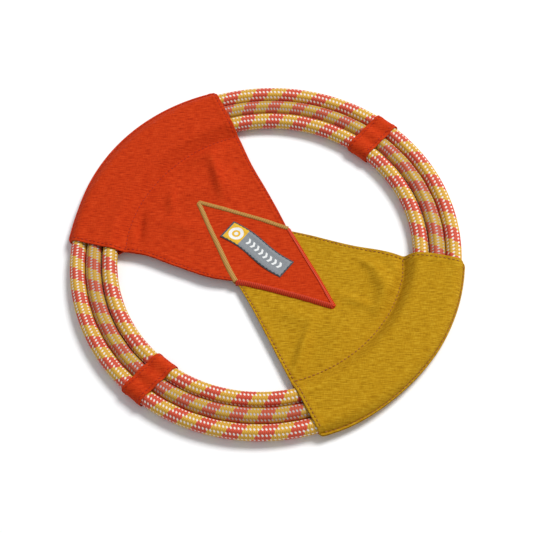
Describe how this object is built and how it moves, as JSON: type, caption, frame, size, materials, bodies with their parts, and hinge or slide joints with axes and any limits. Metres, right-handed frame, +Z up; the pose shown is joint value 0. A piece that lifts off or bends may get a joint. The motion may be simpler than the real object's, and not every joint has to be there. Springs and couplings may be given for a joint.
{
  "type": "flying ring",
  "caption": "Soft flying ring of braided rope rings held side by side by fan-shaped cloth panels and bands, open on two sides of its middle.",
  "frame": {"origin": "centre of the rope rings, on the surface that the ring lies on", "axes": "+Z up out of the lying ring, +X towards the middle of the mustard panel, -X towards the middle of the red panel, and the two bands at +Y and -Y"},
  "size_m": [0.2498, 0.2418, 0.0123],
  "materials": {
    "rope_white_fleck": "matte",
    "rope_grey_fleck": "matte",
    "rope_core": "matte",
    "splice_wrap": "satin",
    "red_cloth": "matte",
    "mustard_cloth": "matte",
    "red_thread": "satin",
    "mustard_thread": "satin",
    "tan_thread": "satin",
    "label_weave": "matte",
    "label_thread": "matte"
  },
  "bodies": {
    "root": {"outer_rope_core": "rope_core", "outer_rope_sheath": "rope_white_fleck", "outer_rope_splice": "splice_wrap", "middle_rope_core": "rope_core", "middle_rope_sheath": "rope_grey_fleck", "middle_rope_splice": "splice_wrap", "inner_rope_core": "rope_core", "inner_rope_sheath": "rope_white_fleck", "inner_rope_splice": "splice_wrap", "mustard_panel_top": "mustard_cloth", "mustard_panel_bottom": "mustard_cloth", "mustard_channel_seam": "mustard_thread", "mustard_left_hem_seam": "mustard_thread", "mustard_right_hem_seam": "mustard_thread", "mustard_tip_satin": "tan_thread", "mustard_tip_back_stitch": "tan_thread", "red_panel_top": "red_cloth", "red_panel_bottom": "red_cloth", "red_channel_seam": "red_thread", "red_left_hem_seam": "red_thread", "red_right_hem_seam": "red_thread", "red_tip_satin": "red_thread", "red_tip_back_stitch": "red_thread", "rear_band": "red_cloth", "rear_band_left_seam": "red_thread", "rear_band_right_seam": "red_thread", "front_band": "red_cloth", "front_band_left_seam": "red_thread", "front_band_right_seam": "red_thread", "woven_label": "label_weave", "label_seam": "label_thread"}
  },
  "joints": []
}
